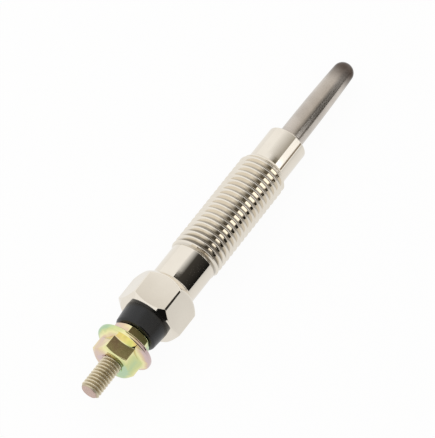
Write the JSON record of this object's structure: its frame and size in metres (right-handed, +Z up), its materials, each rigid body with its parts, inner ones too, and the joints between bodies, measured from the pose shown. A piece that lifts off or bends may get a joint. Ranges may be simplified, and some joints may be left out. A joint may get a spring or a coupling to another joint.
{
  "type": "diesel glow plug",
  "caption": "Sheathed-element diesel glow plug with a hexagon housing, rolled body thread, sealing cone, heater rod and threaded terminal stud with nuts.",
  "frame": {"origin": "on the plug's axis where the nose meets the sealing cone", "axes": "+X along the axis to the heater's tip, +Z up from the hexagon flat that the plug lies on"},
  "size_m": [0.0874, 0.0138, 0.012],
  "materials": {
    "nickel_plate": "bright nickel plate on turned steel",
    "heater_alloy": "satin drawn alloy, browned at the tip",
    "resistance_wire": "drawn wire",
    "magnesium_oxide": "packed powder",
    "seal_rubber": "moulded rubber",
    "stud_steel": "thin yellow chromate on rolled steel",
    "black_phenolic": "satin moulded phenolic",
    "yellow_zinc": "iridescent yellow chromate on zinc plate"
  },
  "bodies": {
    "root": {"housing": "nickel_plate", "heater_sheath": "heater_alloy", "heating_coil": "resistance_wire", "control_coil": "resistance_wire", "insulation_powder": "magnesium_oxide", "sheath_seal": "seal_rubber", "centre_electrode": "stud_steel", "seal_ring": "seal_rubber", "insulator_bush": "black_phenolic", "lock_nut": "yellow_zinc", "terminal_nut": "yellow_zinc"}
  },
  "joints": []
}
